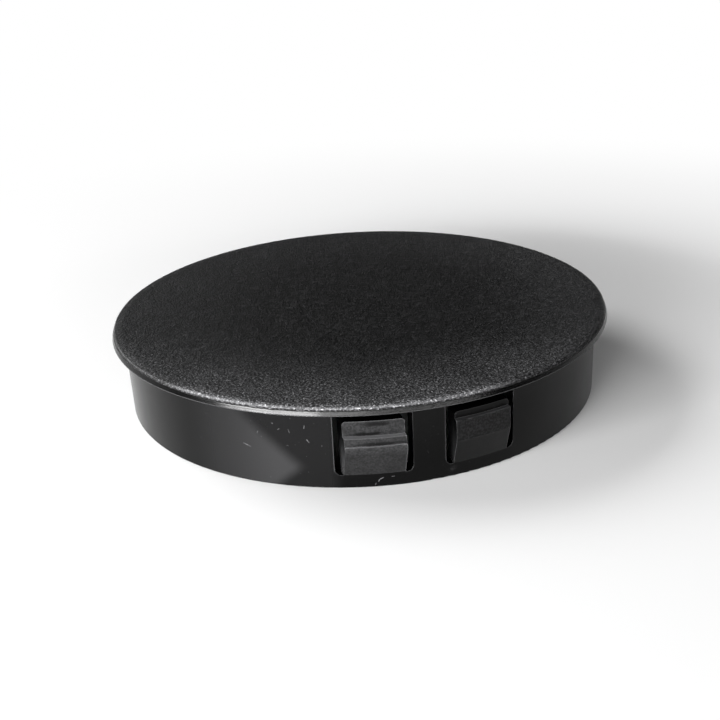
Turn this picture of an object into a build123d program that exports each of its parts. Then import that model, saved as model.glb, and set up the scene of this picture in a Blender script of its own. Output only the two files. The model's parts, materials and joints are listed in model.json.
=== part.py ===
from build123d import *
import os
from math import radians, tan

# Snap-in plug that closes a round hole in a panel. It is one moulding: a flat round cap whose edge
# is the flange, a short skirt that fills the hole, and snap fingers cut out of the skirt in pairs.
# Lengths are in millimetres and angles in degrees. The origin is the centre of the flange's seating
# face, +Z points out of the panel, and the first pair of fingers faces -Y.

# --- The hole that it closes ---
hole_diameter = 63.5
hole_clearance = 0.27  # between the hole's edge and the skirt, all round

# --- Cap ---
flange_overlap = 1.25  # how far the flange covers the panel beyond the hole's edge
cap_thickness = 0.9
flange_edge_draft = 20.0  # lean of the flange's smooth side
flange_edge_radius = 0.3  # between that side and the grained top

# --- Skirt ---
skirt_depth = 10.0
skirt_wall = 2.0  # at the seating face; the outside tapers by the draft, the bore is straight
skirt_draft = 1.2
foot_edge_radius = 0.2

# --- Snap fingers and the windows around them ---
pair_count = 2
finger_width = 7.0
web_width = 3.9  # skirt left between the two windows of a pair
slot_width = 0.95  # gap along each side of a finger
slot_corner_radius = 0.8
sill_height = 1.7  # closed band of skirt under each window
finger_corner_radius = 0.45

# --- Noses. Heights run up the finger, reaches stand out from the skirt at the seating face ---
crest_reach = 1.15
crest_edge_radius = 0.12
stepped_tip_gap = 1.3  # between the flange and the top of the stepped finger
stepped_tip_height = 1.85
stepped_tip_reach = 0.2
middle_step_height = 1.0
middle_step_reach = 0.88
crest_height = 0.65  # of the stepped finger; the plain finger's ramp ends as low
plain_tip_gap = 1.4
plain_tip_height = 0.85
plain_tip_reach = 0.5

# --- Sizes that follow from those above ---
skirt_radius = hole_diameter / 2 - hole_clearance
flange_radius = hole_diameter / 2 + flange_overlap
cap_top_radius = flange_radius - cap_thickness * tan(radians(flange_edge_draft))
bore_radius = skirt_radius - skirt_wall
skirt_taper = tan(radians(skirt_draft))
foot_radius = skirt_radius - skirt_depth * skirt_taper
sill_drop = skirt_depth - sill_height
sill_radius = skirt_radius - sill_drop * skirt_taper
crest_radius = skirt_radius + crest_reach
window_width = finger_width + 2 * slot_width
finger_offset = (web_width + window_width) / 2
pad_root_radius = skirt_radius - skirt_wall / 2  # the noses' pads start inside the wall
cut_radius = crest_radius + slot_width  # clear of the noses

# Each ledge lies below the flange by the thickness of the panel that it grips.
plain_ledge_drop = plain_tip_gap + plain_tip_height
middle_ledge_drop = stepped_tip_gap + stepped_tip_height
low_ledge_drop = middle_ledge_drop + middle_step_height
ramp_top_drop = low_ledge_drop + crest_height
crest_round = min(crest_edge_radius, (crest_reach - middle_step_reach) / 2)

# A nose is its steps from the crest to the tip, each a radius and the drop at which it ends.
stepped_nose = [
    (crest_radius, low_ledge_drop),
    (skirt_radius + middle_step_reach, middle_ledge_drop),
    (skirt_radius + stepped_tip_reach, stepped_tip_gap),
]
plain_nose = [
    (crest_radius, plain_ledge_drop),
    (skirt_radius + plain_tip_reach, plain_tip_gap),
]
# Seen from outside, each pair has the stepped finger on its left and the plain one on its right.
fingers = [(-finger_offset, stepped_nose), (finger_offset, plain_nose)]

# Plane of each pair: x runs along the skirt, y is up, z points outwards through the fingers.
pair_planes = [Plane.XZ.rotated((0, 0, i * 360 / pair_count)) for i in range(pair_count)]


def nose_outline(nose):
    """Corners of a nose's section, as (radius, height), from its root in the wall round to its tip."""
    corners = [(pad_root_radius, -sill_drop), (sill_radius, -sill_drop)]
    step_foot = ramp_top_drop
    for radius, step_top in nose:
        corners += [(radius, -step_foot), (radius, -step_top)]
        step_foot = step_top
    return corners + [(pad_root_radius, -step_foot)]


def nose_pads(offset, nose):
    """Pads with a nose's section, one on each pair, reaching half a slot past the finger's sides."""
    with BuildPart() as pads:
        with BuildSketch(Plane.XZ) as section:
            with BuildLine():
                Polyline(*nose_outline(nose), close=True)
            make_face()
            crest_corners = section.vertices().group_by(Axis.X)[-1]
            fillet(crest_corners, crest_round)
        revolve(axis=Axis.Z)
        with BuildSketch():
            with PolarLocations(0, pair_count):
                with Locations((offset, -cut_radius / 2)):
                    Rectangle(finger_width + slot_width, cut_radius)
        extrude(amount=-sill_drop, mode=Mode.INTERSECT)
    return pads.part


def finger_outline(offset, nose):
    """Face of one finger, seen from outside, from its root on the sill to its tip."""
    tip_gap = nose[-1][1]
    with BuildSketch() as finger:
        with Locations((offset, -sill_drop)):
            Rectangle(finger_width, sill_drop - tip_gap, align=(Align.CENTER, Align.MIN))
        fillet(finger.vertices().group_by(Axis.Y)[-1], finger_corner_radius)
    return finger.sketch


pads = [nose_pads(*finger) for finger in fingers]
finger_outlines = [finger_outline(*finger) for finger in fingers]

with BuildPart() as hole_plug:
    # Skirt, a ring with the draft on its outside
    with BuildSketch(Plane.XZ) as skirt_section:
        with BuildLine():
            Polyline(
                (bore_radius, 0),
                (skirt_radius, 0),
                (foot_radius, -skirt_depth),
                (bore_radius, -skirt_depth),
                close=True,
            )
        make_face()
        fillet(skirt_section.vertices().group_by(Axis.Y)[0], foot_edge_radius)
    revolve(axis=Axis.Z)
    add(pads)

    # Windows, cut through wall and pads, with a finger left standing in each
    for plane in pair_planes:
        with BuildSketch(plane) as slots:
            for offset, nose in fingers:
                with Locations((offset, -sill_drop)):
                    Rectangle(window_width, sill_drop, align=(Align.CENTER, Align.MIN))
            fillet(slots.vertices().group_by(Axis.Y)[0], slot_corner_radius)
            add(finger_outlines, mode=Mode.SUBTRACT)
        extrude(amount=cut_radius, mode=Mode.SUBTRACT)

    # Cap, which closes the skirt and overhangs it as the flange
    with BuildSketch(Plane.XZ) as cap_section:
        with BuildLine():
            Polyline(
                (0, 0),
                (flange_radius, 0),
                (cap_top_radius, cap_thickness),
                (0, cap_thickness),
                close=True,
            )
        make_face()
        fillet(cap_section.vertices().group_by(Axis.Y)[-1].sort_by(Axis.X)[-1], flange_edge_radius)
    revolve(axis=Axis.Z)

hole_plug.part.label = "hole_plug"
os.makedirs("parts", exist_ok=True)
export_step(hole_plug.part, "parts/hole_plug.step")
ledge_drops = [plain_ledge_drop, middle_ledge_drop, low_ledge_drop]
print("panel thicknesses that the ledges grip, mm:", [round(drop, 2) for drop in ledge_drops])
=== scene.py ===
import json
from math import cos, pi, radians, sin, tan

import bpy
from mathutils import Matrix, Vector


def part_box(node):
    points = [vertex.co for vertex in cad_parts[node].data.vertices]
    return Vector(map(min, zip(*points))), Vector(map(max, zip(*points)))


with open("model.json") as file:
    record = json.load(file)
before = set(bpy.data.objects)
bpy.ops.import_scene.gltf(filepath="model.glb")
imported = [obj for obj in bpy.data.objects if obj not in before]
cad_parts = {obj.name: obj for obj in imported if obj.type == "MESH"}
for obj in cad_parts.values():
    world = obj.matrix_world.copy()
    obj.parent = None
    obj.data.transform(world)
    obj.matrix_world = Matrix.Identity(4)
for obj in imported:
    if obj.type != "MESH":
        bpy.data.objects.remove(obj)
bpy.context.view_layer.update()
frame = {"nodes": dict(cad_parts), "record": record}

MM = 0.001  # metres

# The plastic is described in mm in the part's frame: z is 0 under the flange, 0.9 on the cap and -10 at the
# foot. The front is -Y, left is -X and right is +X, at the front and at the back alike. A pair says where a
# change starts and where it is complete. Two more numbers are the values that it has there, which are 0 and 1
# otherwise. Colours, strengths and roughnesses have no unit.

# --- Plain plastic ---
IOR = 1.46
SPECULAR = 0.18
BASE = 0.0005
BLUE = 1.03  # of the red and green
SKIRT_ROUGHNESS = 0.22
SIDE_ROUGHNESS = 0.16
CORNER_ROUGHNESS = 0.30
CAP_ROUGHNESS = 0.42
FINGER_ROUGHNESS = 0.36
GRAIN_END_ROUGHNESS = 0.45  # added where the grain ends
CLOUD_ROUGHNESS = 0.08  # change with the random clouds
EDGE_ROUND = 0.12  # radius that all edges are shaded with
NOISE_MEAN = 0.5

# --- Zones ---
CAP_LEVEL = (0.66, 0.74)  # z at which the flange's side turns into the cap
BELOW_SEAT = (0.0, -0.02)  # z at which the skirt starts
ABOVE_SEAT = (0.0, 0.02)
SIDE_RADIUS = (31.5, 31.8)  # outside the skirt
WALL_RADIUS = (30.0, 30.2)  # outside the bore
MIDDLE = (-0.1, 0.1)  # from the left half to the right half, or from the front to the back
FINGER_NEAR = (2.75, 2.85)  # a finger's sides, from the middle of the web
FINGER_FAR = (10.05, 9.95)
FINGER_WALL = (25.0, 25.2)  # from the plug's middle to the front or back
FINGER_FOOT = (-8.3, -8.2)
FINGER_TIP = (-1.0, -1.1)
FINGER_FACE = (0.45, 0.55)  # Y of the surface's normal, without its sign
CREST_END = (-5.3, -4.9)  # z at which a nose's ramp turns into its crest
LEDGES = (-2.25, -3.15, -4.15)

# --- Moulded grain ---
FINE_SIZE = 0.24
COARSE_SIZE = 0.65
COARSE_SHARE = 0.6
GRAIN_DEPTH = 0.12
GRAIN_WANDER = 0.20  # how far the grain's end wanders up and down the flange's side
GRAIN_END = (0.56, 0.66)
GRAIN_END_FOOT = (0.48, 0.54)  # of the rougher line where the grain ends
GRAIN_END_TOP = (0.68, 0.60)
BRUSH_LINES = (0.10, 0.10, 9.0)  # lines per mm along X, Y and Z
BRUSH_DEPTH = 0.007
SIDE_GRAIN = 0.03  # depth of the grain on the flange's side
SIDE_GRAIN_X = (-14.0, 0.0)
ROLL_OFF = 0.12  # how far the cap seems to fall towards its rim
ROLL_OFF_RADIUS = (31.6, 32.7)
DIMPLE_SIZE = 1.6
DIMPLE_DEPTH = 0.006

# --- Painted highlights and speckle of the cap ---
CLOUD_SIZE = 9.0
CLOUD_CONTRAST = (0.25, 0.75, 0.7, 1.3)
NEAR_RIM = (12.0, 33.0)
FRONT_WAY = (0.3, 0.95)  # shares of x and y in the distance along which the wear grows
FRONT = (-8.0, -32.0)
RIM_FRONT_WAY = (0.33, 0.95)
RIM_FRONT = (-24.5, -28.5)
RIM_RADIUS = (31.4, 32.2)
CORNER_RADIUS = (32.25, 32.50)
# Painted highlight: the cap is painted paler near the rim, most at the front, on the right and at the front
# rim's corner.
RIM_HIGHLIGHT = 0.018
FRONT_HIGHLIGHT = 0.08
RIGHT_HIGHLIGHT = 0.0075
RIGHT_HIGHLIGHT_X = (8.0, 30.0)
RIM_FRONT_HIGHLIGHT = 0.08
CORNER_HIGHLIGHT = 0.07
LIT_PEAKS = (0.44, 0.66, 0.1, 0.9)  # from the valleys of the fine grain to its peaks
GLINT_SIZE = 0.30
GLINT_PEAKS = (0.62, 0.72)
GLINT = 2.0
SPECKLE = 0.03
SPECKLE_FINE = (0.56, 0.70)
SPECKLE_COARSE = (0.50, 0.70, 0.0, 0.4)
SPECKLE_FRONT = (0.0, 0.8, 1.0, 0.5)  # weaker towards the front

# --- Fingers: their tone, darker patches, and painted light on the sides that face left ---
LEFT_FINGER_BASE = 0.0208  # of the front left finger
LEFT_RAMP = (-5.2, -4.8, 0.68, 1.0)  # less on its ramp
LEFT_GRAIN = (0.35, 0.65, 0.6, 1.4)
STREAK_STRETCH = (0.35, 1.0, 1.2)
STREAK_CONTRAST = (0.30, 0.60, 0.75, 1.0)
BLOTCH_STRETCH = (0.7, 1.0, 1.6)
BLOTCH_SIZE = 0.9
BLOTCH_REACH = 1.6  # how far blotches push a dark patch's edge, in reaches of the patch
DARK_PATCH_EDGE = (0.4, 1.2)  # in reaches of the dark patch
DARK_PATCH_STRENGTH = 0.85
DARK_PATCHES = (  # middle (x, z) and reach (x, z)
    (-6.3, -1.75, 2.0, 0.35),
    (-7.3, -2.90, 1.6, 0.24),
    (-5.8, -3.92, 3.2, 0.24),
)
FINGER_BASE = 0.0048  # of the right fingers
FINGER_GRAIN = (0.40, 0.65, 0.1, 1.9)
CREST_TOP = (LEDGES[0], LEDGES[0] - 0.1)  # below the first ledge
RAMP_SHARE = (-4.9, -5.3, 0.0, 0.2)
SIDE_LIGHT = 0.04  # painted light on the fingers' sides that face left, less towards the tips
SIDE_FACE = (-0.4, -0.7)  # X of the surface's normal
SIDE_FADE = (-2.5, -7.5)
SIDE_SHARE = (1.0, 0.3)  # of the left and of the right fingers

# --- Worn and highlighted edges ---
WEAR_REACH = 0.30  # radius within which an edge is felt
# Painted highlight and worn edges: convex edges are painted paler, less where the rounding leans left, on the
# sills and on the right fingertips; the fingers' ledges get a painted highlight.
EDGE_WEAR_AND_HIGHLIGHT = 0.07
EDGE_TURN = (0.94, 0.78)  # cosine between the surface and the rounded edge
EDGE_TOP = (0.7, 0.5)  # none on the cap
EDGE_LEAN = (-0.2, 0.1, 0.12, 1.0)  # less where the rounding leans to the left
SILL_LEAN = (0.1, 0.3)  # and where it leans up, beside the fingers
SILL_LOSS = 0.6
TIP_LEVEL = (LEDGES[0] + 0.05, LEDGES[0] + 0.15)
TIP_LOSS = 0.75  # of the painted paleness of the edges on the right fingers' tips
LEDGE_HIGHLIGHT = 0.13
LEDGE_LINE = (0.08, 0.04)  # from a ledge's height
LEDGE_UP = (0.5, 0.8)  # Z of the surface's normal
LEDGE_SHARE = (0.2, 1.0)  # of the right and of the left fingers
INNER_CORNER_FOOT = (-0.03, 0.03)  # from a ledge's height: the corner above it is not painted paler
INNER_CORNER_TOP = (0.6, 0.2)

# --- Scuffs, specks and dust of the skirt, its painted reflection and painted light ---
UNROLL_RADIUS = 30.5  # an arc is an angle from the middle of the front times this
MARK = 0.12
MARKS = (  # middle (arc, z), half length (arc, z), half width and strength
    (-21.0, -5.20, 0.42, -0.15, 0.10, 0.8),
    (-17.6, -1.90, 0.03, -0.02, 0.13, 0.7),
    (-16.9, -2.60, 0.08, 0.06, 0.09, 0.4),
    (-15.7, -2.75, 0.06, -0.22, 0.08, 0.4),
    (-13.9, -2.10, 0.04, 0.18, 0.09, 0.7),
    (-13.6, -3.90, 0.10, -0.14, 0.10, 0.9),
    (-19.5, -3.30, 0.04, 0.10, 0.09, 0.5),
    (-5.60, -8.90, 0.18, 0.08, 0.10, 1.0),
    (-5.90, -9.15, 0.04, 0.14, 0.09, 1.0),
    (-4.30, -8.75, 0.12, 0.02, 0.08, 0.7),
    (-6.30, -9.60, 0.05, 0.12, 0.08, 0.5),
    (2.70, -8.95, 0.10, 0.05, 0.55, 0.07),
)
MARK_EDGE = (0.85, 0.1)  # in half widths
MARK_GRAIN_SIZE = 0.25
MARK_CONTRAST = (0.3, 0.6, 0.3, 1.0)
DUST = 0.036
DUST_SIZE = 0.35
DUST_PEAKS = (0.75, 0.81)
DUST_ARC = (2.0, -9.0, 0.25, 1.0)  # less on the right
# Painted reflection: a paler patch with a slanting upper edge on the skirt's lower left stands for the lit
# floor that the skirt would mirror. Painted light: the skirt's front left is a little paler.
REFLECTION = 0.0085
REFLECTION_UPPER = (-21.2, -24.2)  # arc at the flange of its slanting upper edge, and of its lower edge
REFLECTION_UPPER_SLANT = 1.1  # arc per height
REFLECTION_LOWER = (-4.5, -7.0)
REFLECTION_LOWER_SLANT = 1.2
REFLECTION_LEFT = (-31.0, -22.0)
REFLECTION_GAIN = (-24.0, -16.0, 1.0, 2.6)  # stronger towards the front
PAINTED_LIGHT = 0.0045
PAINTED_LIGHT_LEFT = (-30.0, -22.0)
PAINTED_LIGHT_RIGHT = (-9.5, -11.5)

# --- Studio, in metres and degrees ---
FLOOR_REACH = 6.0  # from its middle to its sides
FLOOR_GREY = 0.82
WHITE_FLOOR = (50 * MM, 150 * MM)  # where the floor fades to plain white for the camera and in reflections
SKY_RISE = (0.02, 0.10, 1.0, 0.02)  # white at the horizon, and nearly black from a little above it
CAMERA_AZIMUTH = -13.43
CAMERA_ELEVATION = 20.88
CAMERA_ROLL = -3.117
CAMERA_DISTANCE = 165 * MM
CAMERA_AIM = Vector((-0.196, 0.047, -7.41)) * MM
SENSOR_WIDTH = 36  # mm
FOCAL_LENGTH = 60.827  # mm
CLIP_START = 5 * MM
CLIP_END = 20
WINDOW_DISTANCE = 0.6
WINDOW_ELEVATION = 13
WINDOW_HEIGHT = 0.08
WINDOWS = (  # name, azimuth from the camera's own, half of the angle that it spans, and brightness
    ("window_far_left", -70, 10, 8),
    ("window_left", -50, 10, 78),
    ("window_middle", -30, 10, 62),
    ("window_right", -10, 10, 20),
    ("window_far_right", 24, 24, 10.5),
)

plug = frame["nodes"]["hole_plug"]
low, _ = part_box("hole_plug")
panel_hole = {mount["name"]: mount for mount in frame["record"]["mounts"]}["panel_hole"]
seat = Vector(panel_hole["pos_m"])


# --- Node helpers ---
class Tree:
    """A node tree, with one call for each kind of node that is used."""

    def __init__(self, owner):
        owner.use_nodes = True
        self.tree = owner.node_tree
        self.tree.nodes.clear()

    def add(self, kind, inputs=(), **settings):
        made = self.tree.nodes.new(kind)
        for name, value in settings.items():
            setattr(made, name, value)
        for name, value in dict(inputs).items():
            self.set(made.inputs[name], value)
        return made

    def set(self, socket, value):
        if isinstance(value, bpy.types.NodeSocket):
            self.tree.links.new(value, socket)
        else:
            socket.default_value = value

    def math(self, operation, *values):
        made = self.tree.nodes.new("ShaderNodeMath")
        made.operation = operation
        for socket, value in zip(made.inputs, values):
            self.set(socket, value)
        return made.outputs[0]

    def total(self, first, *others):
        for value in others:
            first = self.math("ADD", first, value)
        return first

    def product(self, first, *others):
        for value in others:
            first = self.math("MULTIPLY", first, value)
        return first

    def less(self, value, taken):
        return self.math("SUBTRACT", value, taken)

    def root(self, value):
        return self.math("SQRT", value)

    def step(self, value, start, end, low=0.0, high=1.0):
        """Smooth change from low, where value is at start, to high, where it is at end."""
        made = self.add(
            "ShaderNodeMapRange",
            {"Value": value, "From Min": start, "From Max": end, "To Min": low, "To Max": high},
            interpolation_type="SMOOTHSTEP",
        )
        return made.outputs["Result"]

    def vector(self, operation, *values):
        """Vector maths that gives a vector."""
        return self.add("ShaderNodeVectorMath", enumerate(values), operation=operation).outputs["Vector"]

    def measure(self, operation, *values):
        """Vector maths that gives a number."""
        return self.add("ShaderNodeVectorMath", enumerate(values), operation=operation).outputs["Value"]

    def split(self, vector):
        return self.add("ShaderNodeSeparateXYZ", {"Vector": vector}).outputs

    def rounded(self, radius, samples):
        """Normal of the surface as if its edges had this radius, in metres."""
        return self.add("ShaderNodeBevel", {"Radius": radius}, samples=samples).outputs["Normal"]

    def noise(self, place, size, detail=2.0, roughness=0.5):
        made = self.add(
            "ShaderNodeTexNoise",
            {"Vector": place, "Scale": 1 / size, "Detail": detail, "Roughness": roughness},
        )
        return made.outputs["Fac"]


# --- Black plastic: places and zones ---
plastic = bpy.data.materials.new("black_moulded_plastic")
t = Tree(plastic)
metres = t.add("ShaderNodeTexCoord").outputs["Object"]
place = t.add("ShaderNodeVectorMath", {0: metres, "Scale": 1 / MM}, operation="SCALE").outputs["Vector"]
x, y, z = t.split(place)
geometry = t.add("ShaderNodeNewGeometry").outputs
out_x, out_y, out_z = t.split(geometry["True Normal"])
radius = t.root(t.total(t.product(x, x), t.product(y, y)))
arc = t.product(t.math("ARCTAN2", x, t.product(y, -1.0)), UNROLL_RADIUS)

on_cap = t.step(z, *CAP_LEVEL)
outside_skirt = t.step(radius, *SIDE_RADIUS)
on_side = t.product(t.step(z, *ABOVE_SEAT), t.step(z, *reversed(CAP_LEVEL)), outside_skirt)
on_skirt = t.step(z, *BELOW_SEAT)
on_left = t.step(x, *reversed(MIDDLE))
on_right = t.step(x, *MIDDLE)
across = t.math("ABSOLUTE", x)
finger_zone = t.product(
    t.step(across, *FINGER_NEAR),
    t.step(across, *FINGER_FAR),
    t.step(t.math("ABSOLUTE", y), *FINGER_WALL),
    t.step(z, *FINGER_FOOT),
    t.step(z, *FINGER_TIP),
)
on_fingers = t.product(finger_zone, t.step(t.math("ABSOLUTE", out_y), *FINGER_FACE))
on_left_finger = t.product(on_fingers, on_left, t.step(y, *reversed(MIDDLE)))

# --- Black plastic: relief ---
# The cap has a fine moulded pebble that ends ragged at the flange's side, which is brushed along its length.
fine = t.noise(place, FINE_SIZE, detail=2.0, roughness=0.6)
coarse = t.noise(place, COARSE_SIZE, detail=2.0, roughness=0.5)
grain = t.total(fine, t.product(coarse, COARSE_SHARE))
ragged = t.total(z, t.product(t.less(coarse, NOISE_MEAN), GRAIN_WANDER))
grained = t.step(ragged, *GRAIN_END)
roll_off = t.step(radius, *ROLL_OFF_RADIUS, 0.0, -ROLL_OFF)
brushed = t.noise(t.vector("MULTIPLY", place, BRUSH_LINES), size=1.0, detail=2.0, roughness=0.6)
dimples = t.noise(place, DIMPLE_SIZE, detail=2.0, roughness=0.5)
height = t.total(
    t.product(grain, t.product(grained, GRAIN_DEPTH)),
    t.product(roll_off, on_cap),
    t.product(brushed, on_side, BRUSH_DEPTH),
    t.product(fine, on_side, t.step(x, *SIDE_GRAIN_X), SIDE_GRAIN),
    t.product(dimples, DIMPLE_DEPTH),
)
bump = t.add(
    "ShaderNodeBump",
    {"Height": height, "Strength": 1.0, "Distance": MM, "Normal": t.rounded(EDGE_ROUND * MM, samples=6)},
)

# --- Black plastic: painted highlights on the cap ---
# The peaks of the grain are painted palest towards the rim on the side of the front fingers, as painted
# highlight with painted glints; a faint speckle of the grain is paler too.
cloud = t.noise(place, CLOUD_SIZE, detail=4.0, roughness=0.6)
near_rim = t.step(radius, *NEAR_RIM)
front = t.step(t.total(t.product(y, FRONT_WAY[1]), t.product(x, FRONT_WAY[0])), *FRONT)
rim_front = t.step(t.total(t.product(y, RIM_FRONT_WAY[1]), t.product(x, RIM_FRONT_WAY[0])), *RIM_FRONT)
corner = t.product(t.step(radius, *CORNER_RADIUS), on_cap)
cap_highlight = t.total(
    t.product(near_rim, RIM_HIGHLIGHT),
    t.product(near_rim, front, FRONT_HIGHLIGHT),
    t.product(t.step(radius, *RIM_RADIUS), rim_front, RIM_FRONT_HIGHLIGHT),
)
cap_highlight = t.product(cap_highlight, t.step(cloud, *CLOUD_CONTRAST))
glints = t.product(t.step(t.noise(place, GLINT_SIZE, detail=1.0), *GLINT_PEAKS), GLINT)
speckle = t.total(t.step(fine, *SPECKLE_FINE), t.step(coarse, *SPECKLE_COARSE))
cap_highlight_and_speckle = t.total(
    t.product(cap_highlight, t.total(t.step(fine, *LIT_PEAKS), glints), grained),
    t.product(near_rim, t.step(x, *RIGHT_HIGHLIGHT_X), grained, RIGHT_HIGHLIGHT),
    t.product(speckle, grained, t.step(front, *SPECKLE_FRONT), SPECKLE),
    t.product(corner, rim_front, grained, CORNER_HIGHLIGHT),
)

# --- Black plastic: fingers, and painted light on their sides ---
# The front left finger is paler and has darker patches across its upper faces.
streaks = t.noise(t.vector("MULTIPLY", place, STREAK_STRETCH), size=1.0, detail=3.0, roughness=0.6)
blotches = t.noise(t.vector("MULTIPLY", place, BLOTCH_STRETCH), BLOTCH_SIZE, detail=3.0, roughness=0.6)
left_finger = t.product(
    on_left_finger,
    t.step(streaks, *STREAK_CONTRAST),
    t.step(z, *LEFT_RAMP),
    t.step(fine, *LEFT_GRAIN),
    LEFT_FINGER_BASE,
)
for middle_x, middle_z, reach_x, reach_z in DARK_PATCHES:
    off_x = t.math("DIVIDE", t.less(x, middle_x), reach_x)
    off_z = t.math("DIVIDE", t.less(z, middle_z), reach_z)
    off = t.root(t.total(t.product(off_x, off_x), t.product(off_z, off_z)))
    off = t.total(off, t.product(t.less(blotches, NOISE_MEAN), BLOTCH_REACH))
    left_finger = t.product(left_finger, t.step(off, *DARK_PATCH_EDGE, 1.0 - DARK_PATCH_STRENGTH, 1.0))

crest = t.product(t.step(z, *CREST_TOP), t.step(z, *CREST_END), on_right)
ramp = t.product(t.step(z, *RAMP_SHARE), on_right)
finger_faces = t.product(on_fingers, t.total(crest, ramp), t.step(fine, *FINGER_GRAIN), FINGER_BASE)
# Painted light: the fingers' sides that face left are painted paler, most on the left fingers and towards
# their feet.
lit_finger_side = t.product(
    finger_zone,
    t.step(out_x, *SIDE_FACE),
    t.step(z, *SIDE_FADE),
    t.step(x, *MIDDLE, *SIDE_SHARE),
)
fingers = t.total(finger_faces, t.product(lit_finger_side, SIDE_LIGHT))

# --- Black plastic: worn and highlighted edges ---
# Convex edges are painted paler, partly as worn edges and partly as painted highlight that is strongest where
# the rounding leans right, but not the inner corners above the fingers' ledges. The up-facing ledges get a
# painted highlight.
rounded = t.rounded(WEAR_REACH * MM, samples=8)
turned = t.measure("DOT_PRODUCT", rounded, geometry["Normal"])
lean_x, _, lean_z = t.split(t.vector("SUBTRACT", rounded, geometry["Normal"]))
edge_wear_and_highlight = t.product(
    t.step(turned, *EDGE_TURN),
    t.step(z, *EDGE_TOP),
    t.step(lean_x, *EDGE_LEAN),
    EDGE_WEAR_AND_HIGHLIGHT,
)
sill_edge = t.product(t.step(lean_z, *SILL_LEAN), t.less(1.0, finger_zone), SILL_LOSS)
right_tip = t.product(finger_zone, t.step(z, *TIP_LEVEL), on_right, TIP_LOSS)
edge_wear_and_highlight = t.product(edge_wear_and_highlight, t.less(1.0, sill_edge), t.less(1.0, right_tip))
levels = []
for ledge in LEDGES:
    below = t.step(z, *(ledge - reach for reach in LEDGE_LINE))
    levels.append(t.product(below, t.step(z, *(ledge + reach for reach in LEDGE_LINE))))
    inner_corner = t.product(
        t.step(z, *(ledge + reach for reach in INNER_CORNER_FOOT)),
        t.step(z, *(ledge + reach for reach in INNER_CORNER_TOP)),
        on_fingers,
    )
    edge_wear_and_highlight = t.product(edge_wear_and_highlight, t.less(1.0, inner_corner))
on_ledge = t.product(finger_zone, t.total(*levels), t.step(out_z, *LEDGE_UP))
ledge_share = t.step(x, *reversed(MIDDLE), *LEDGE_SHARE)
edge_wear_and_highlight = t.total(edge_wear_and_highlight, t.product(on_ledge, ledge_share, LEDGE_HIGHLIGHT))

# --- Black plastic: scuffs, specks and dust on the skirt ---
unrolled = t.add("ShaderNodeCombineXYZ", {"X": arc, "Y": z}).outputs["Vector"]
marks = 0.0
for middle_arc, middle_z, half_arc, half_z, half_width, strength in MARKS:
    half = Vector((half_arc, half_z, 0))
    offset = t.vector("SUBTRACT", unrolled, (middle_arc, middle_z, 0))
    along = t.measure("DOT_PRODUCT", offset, half.normalized())
    away = t.measure("LENGTH", offset)
    off = t.root(t.less(t.product(away, away), t.product(along, along)))
    mark = t.product(
        t.step(t.math("ABSOLUTE", along), half.length + half_width, half.length),
        t.step(off, *(half_width * share for share in MARK_EDGE), 0.0, strength),
    )
    marks = t.math("MAXIMUM", marks, mark)
marks = t.product(marks, t.step(radius, *WALL_RADIUS), on_skirt)
marks = t.product(marks, t.step(t.noise(place, MARK_GRAIN_SIZE), *MARK_CONTRAST), MARK)
dust = t.step(t.noise(place, DUST_SIZE, detail=1.0), *DUST_PEAKS)
dust = t.product(dust, on_skirt, t.step(arc, *DUST_ARC), DUST)

# --- Black plastic: painted reflection on the skirt's lower left, and painted light on its front left ---
painted_reflection = t.product(
    t.step(t.total(arc, t.product(z, REFLECTION_UPPER_SLANT)), *REFLECTION_UPPER),
    t.step(t.less(arc, t.product(z, REFLECTION_LOWER_SLANT)), *REFLECTION_LOWER),
    t.step(arc, *REFLECTION_LEFT),
    t.step(arc, *REFLECTION_GAIN),
    REFLECTION,
)
# Painted light: the skirt's front left is a little paler.
painted_light = t.product(t.step(arc, *PAINTED_LIGHT_LEFT), t.step(arc, *PAINTED_LIGHT_RIGHT), PAINTED_LIGHT)
painted_reflection = t.product(t.total(painted_reflection, painted_light), on_skirt)

# --- Black plastic: colour, roughness and shader ---
shade = t.total(t.total(cap_highlight_and_speckle, left_finger), t.total(fingers, painted_reflection))
shade = t.total(t.total(shade, BASE), t.total(edge_wear_and_highlight, t.total(marks, dust)))
colour = t.add("ShaderNodeCombineColor", {"Red": shade, "Green": shade, "Blue": t.product(shade, BLUE)})
grain_end = t.product(t.step(ragged, *GRAIN_END_FOOT), t.step(ragged, *GRAIN_END_TOP), outside_skirt)
roughness = t.total(
    SKIRT_ROUGHNESS,
    t.product(grained, CAP_ROUGHNESS - SKIRT_ROUGHNESS),
    t.product(on_side, SIDE_ROUGHNESS - SKIRT_ROUGHNESS),
    t.product(on_fingers, FINGER_ROUGHNESS - SKIRT_ROUGHNESS),
    t.product(corner, CORNER_ROUGHNESS - CAP_ROUGHNESS),
    t.product(grain_end, GRAIN_END_ROUGHNESS),
    t.product(t.less(cloud, NOISE_MEAN), CLOUD_ROUGHNESS),
)
shader = t.add(
    "ShaderNodeBsdfPrincipled",
    {
        "Base Color": colour.outputs["Color"],
        "Roughness": roughness,
        "Normal": bump.outputs["Normal"],
        "IOR": IOR,
        "Specular IOR Level": SPECULAR,
    },
)
t.add("ShaderNodeOutputMaterial", {"Surface": shader.outputs["BSDF"]})
plug.data.materials.clear()
plug.data.materials.append(plastic)

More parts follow.
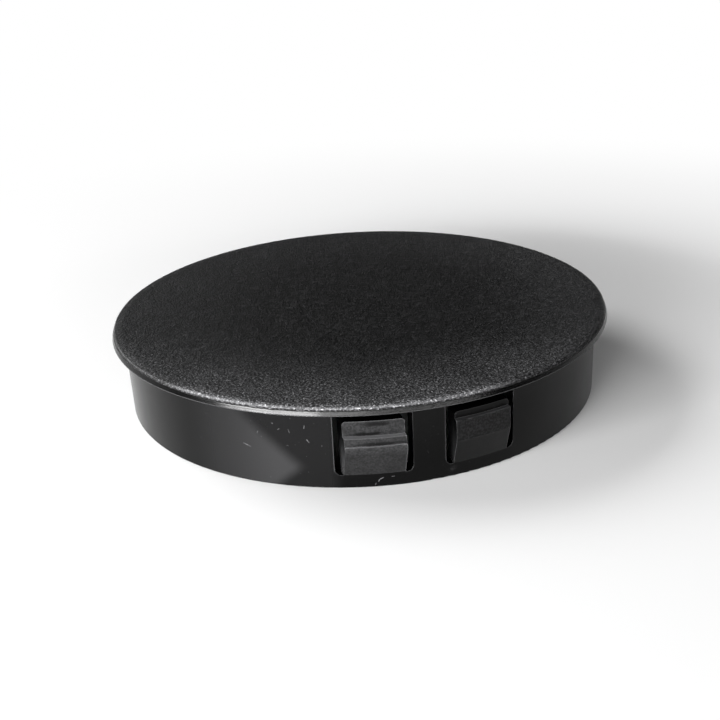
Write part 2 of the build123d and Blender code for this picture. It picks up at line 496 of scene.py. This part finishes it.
# --- Floor, a wide sheet of white paper ---
floor_mesh = bpy.data.meshes.new("floor")
sides = ((-1, -1), (1, -1), (1, 1), (-1, 1))
corners = [(side_x * FLOOR_REACH, side_y * FLOOR_REACH, low.z) for side_x, side_y in sides]
floor_mesh.from_pydata(corners, [], [(0, 1, 2, 3)])
floor = bpy.data.objects.new("floor", floor_mesh)
bpy.context.collection.objects.link(floor)
paper = bpy.data.materials.new("white_paper")
floor_mesh.materials.append(paper)
t = Tree(paper)
lit_paper = t.add("ShaderNodeBsdfDiffuse", {"Color": (FLOOR_GREY, FLOOR_GREY, FLOOR_GREY, 1)})
white = t.add("ShaderNodeEmission", {"Color": (1, 1, 1, 1), "Strength": 1.0})
ray = t.add("ShaderNodeLightPath").outputs
seen = t.math("MAXIMUM", ray["Is Camera Ray"], ray["Is Glossy Ray"])
seen = t.math("MAXIMUM", seen, ray["Is Transmission Ray"])
far = t.step(t.measure("LENGTH", t.add("ShaderNodeTexCoord").outputs["Object"]), *WHITE_FLOOR)
mixed = t.add(
    "ShaderNodeMixShader",
    {"Fac": t.product(seen, far), 1: lit_paper.outputs[0], 2: white.outputs[0]},
)
t.add("ShaderNodeOutputMaterial", {"Surface": mixed.outputs[0]})


# --- Camera ---
def direction(azimuth, elevation):
    """Unit vector from the plug. Azimuth 0 is -Y and 90 is +X, elevation is above the floor, in degrees."""
    a, e = radians(azimuth), radians(elevation)
    return Vector((sin(a) * cos(e), -cos(a) * cos(e), sin(e)))


camera = bpy.data.objects.new("camera", bpy.data.cameras.new("camera"))
bpy.context.collection.objects.link(camera)
camera.data.sensor_width = SENSOR_WIDTH
camera.data.lens = FOCAL_LENGTH
camera.data.clip_start = CLIP_START
camera.data.clip_end = CLIP_END
camera_place = direction(CAMERA_AZIMUTH, CAMERA_ELEVATION) * CAMERA_DISTANCE
look = (camera_place - CAMERA_AIM).to_track_quat("Z", "Y").to_matrix().to_4x4()
camera.matrix_world = Matrix.Translation(camera_place) @ look @ Matrix.Rotation(radians(CAMERA_ROLL), 4, "Z")
bpy.context.scene.camera = camera


# --- Light ---
def softbox(name, azimuth, elevation, distance, width, height, brightness):
    """Area lamp aimed at the plug. Azimuth is counted from the camera's own."""
    lamp = bpy.data.lights.new(name, "AREA")
    lamp.shape = "RECTANGLE"
    lamp.size = width
    lamp.size_y = height
    lamp.energy = brightness * pi * width * height
    made = bpy.data.objects.new(name, lamp)
    towards = direction(CAMERA_AZIMUTH + azimuth, elevation)
    made.location = seat + towards * distance
    made.rotation_euler = towards.to_track_quat("Z", "Y").to_euler()
    made.visible_camera = False
    bpy.context.collection.objects.link(made)


# A low window from the plug's front left round to its front, brightest in the middle of its left half
for name, azimuth, half_angle, brightness in WINDOWS:
    width = 2 * WINDOW_DISTANCE * tan(radians(half_angle))
    softbox(name, azimuth, WINDOW_ELEVATION, WINDOW_DISTANCE, width, WINDOW_HEIGHT, brightness)
softbox("left_softbox", azimuth=-120, elevation=34, distance=0.7, width=0.5, height=0.34, brightness=8.5)
softbox("right_fill", azimuth=110, elevation=30, distance=0.8, width=0.5, height=0.4, brightness=0.2)

world = bpy.data.worlds.new("studio")
bpy.context.scene.world = world
t = Tree(world)
rise = t.split(t.add("ShaderNodeTexCoord").outputs["Generated"])["Z"]
sky = t.add("ShaderNodeBackground", {"Color": (1, 1, 1, 1), "Strength": t.step(rise, *SKY_RISE)})
t.add("ShaderNodeOutputWorld", {"Surface": sky.outputs[0]})

bpy.context.scene.view_settings.view_transform = "Standard"
